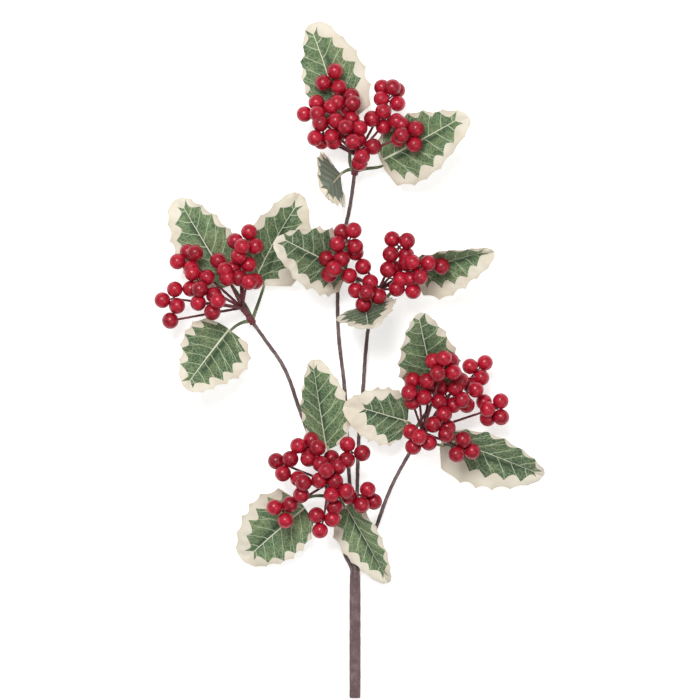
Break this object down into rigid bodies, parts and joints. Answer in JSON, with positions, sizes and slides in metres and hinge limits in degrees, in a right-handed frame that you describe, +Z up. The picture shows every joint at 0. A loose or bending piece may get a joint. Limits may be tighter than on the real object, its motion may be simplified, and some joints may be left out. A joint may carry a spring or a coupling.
{
  "type": "artificial holly spray",
  "caption": "Artificial variegated holly spray lying down: wrapped branches joined in a main stem, printed fabric leaves and bunches of glossy red berries.",
  "frame": {"origin": "middle of the footprint, on the surface the spray lies on", "axes": "+Y along the main stem towards the heads, +X to the right seen from above, +Z up from the surface"},
  "size_m": [0.333, 0.577, 0.0914],
  "materials": {
    "wrapped_stem": "matt paper tape wound round wire",
    "moulded_green": "satin moulded plastic",
    "printed_leaf": "printed polyester with a stiff matt coat",
    "red_berries": "high-gloss red lacquer"
  },
  "bodies": {
    "root": {"main_stem": "wrapped_stem", "top_branch": "wrapped_stem", "top_whorl": "moulded_green", "top_leaf_upper": "printed_leaf", "top_leaf_right": "printed_leaf", "top_leaf_lower": "printed_leaf", "top_berries": "red_berries", "left_branch": "wrapped_stem", "left_whorl": "moulded_green", "left_leaf_upper": "printed_leaf", "left_leaf_right": "printed_leaf", "left_leaf_lower": "printed_leaf", "left_berries": "red_berries", "centre_branch": "wrapped_stem", "centre_whorl": "moulded_green", "centre_leaf_left": "printed_leaf", "centre_leaf_right": "printed_leaf", "centre_leaf_lower": "printed_leaf", "centre_berries": "red_berries", "right_branch": "wrapped_stem", "right_whorl": "moulded_green", "right_leaf_upper": "printed_leaf", "right_leaf_left": "printed_leaf", "right_leaf_lower": "printed_leaf", "right_berries": "red_berries", "bottom_branch": "wrapped_stem", "bottom_whorl": "moulded_green", "bottom_leaf_upper": "printed_leaf", "bottom_leaf_left": "printed_leaf", "bottom_leaf_right": "printed_leaf", "bottom_berries": "red_berries"}
  },
  "joints": []
}
